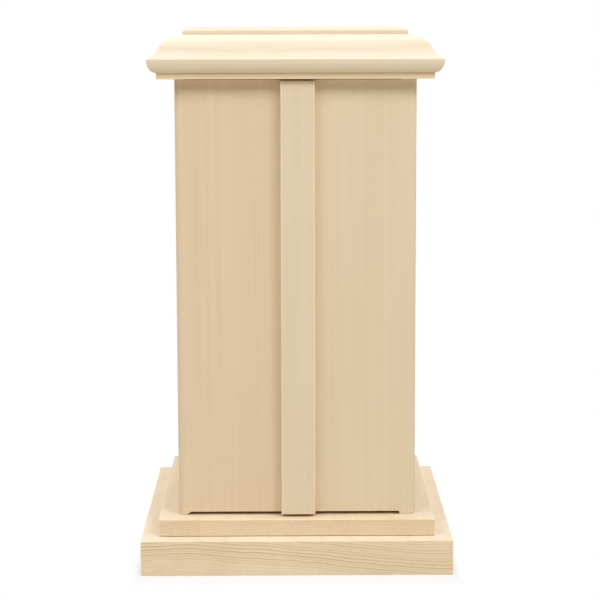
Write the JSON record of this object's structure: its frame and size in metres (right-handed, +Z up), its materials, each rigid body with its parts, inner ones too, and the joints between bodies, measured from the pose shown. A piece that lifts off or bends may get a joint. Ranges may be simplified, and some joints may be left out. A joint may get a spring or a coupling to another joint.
{
  "type": "small shrine cabinet",
  "caption": "Upright box of plain pale wood on a stepped base, with a moulded cap and flat double doors that meet under a raised lath.",
  "frame": {"origin": "centre of the underside of the lower base board", "axes": "+Z up, -Y out of the front with the doors, +X to the viewer's right"},
  "size_m": [0.18, 0.18, 0.312],
  "materials": {
    "base_boards": "planed, unfinished, matt",
    "body": "planed, unfinished, matt",
    "cap": "planed, unfinished, matt",
    "doors": "planed, unfinished, matt",
    "pins": "turned dowel, matt"
  },
  "bodies": {
    "cabinet": {"lower_base_board": "base_boards", "upper_base_board": "base_boards", "left_wall": "body", "right_wall": "body", "back_panel": "body", "ceiling_board": "body", "cap_moulding_front": "cap", "cap_moulding_right": "cap", "cap_moulding_back": "cap", "cap_moulding_left": "cap", "top_board": "cap"},
    "left_leaf": {"left_door": "doors", "left_door_lower_pin": "pins", "left_door_upper_pin": "pins"},
    "right_leaf": {"right_door": "doors", "right_door_lower_pin": "pins", "right_door_upper_pin": "pins", "meeting_strip": "doors"}
  },
  "joints": [
    {"name": "right_door_hinge", "type": "hinge", "parent": "cabinet", "child": "right_leaf", "pos_m": [0.0655, -0.0655, 0.0304], "axis": [0, 0, 1], "range_deg": [0, 180]},
    {"name": "left_door_hinge", "type": "hinge", "parent": "cabinet", "child": "left_leaf", "pos_m": [-0.0655, -0.0655, 0.0304], "axis": [0, 0, -1], "range_deg": [0, 180]}
  ],
  "couplings": [
    {"joint": "left_door_hinge", "follows": "right_door_hinge", "ratio": 1}
  ]
}
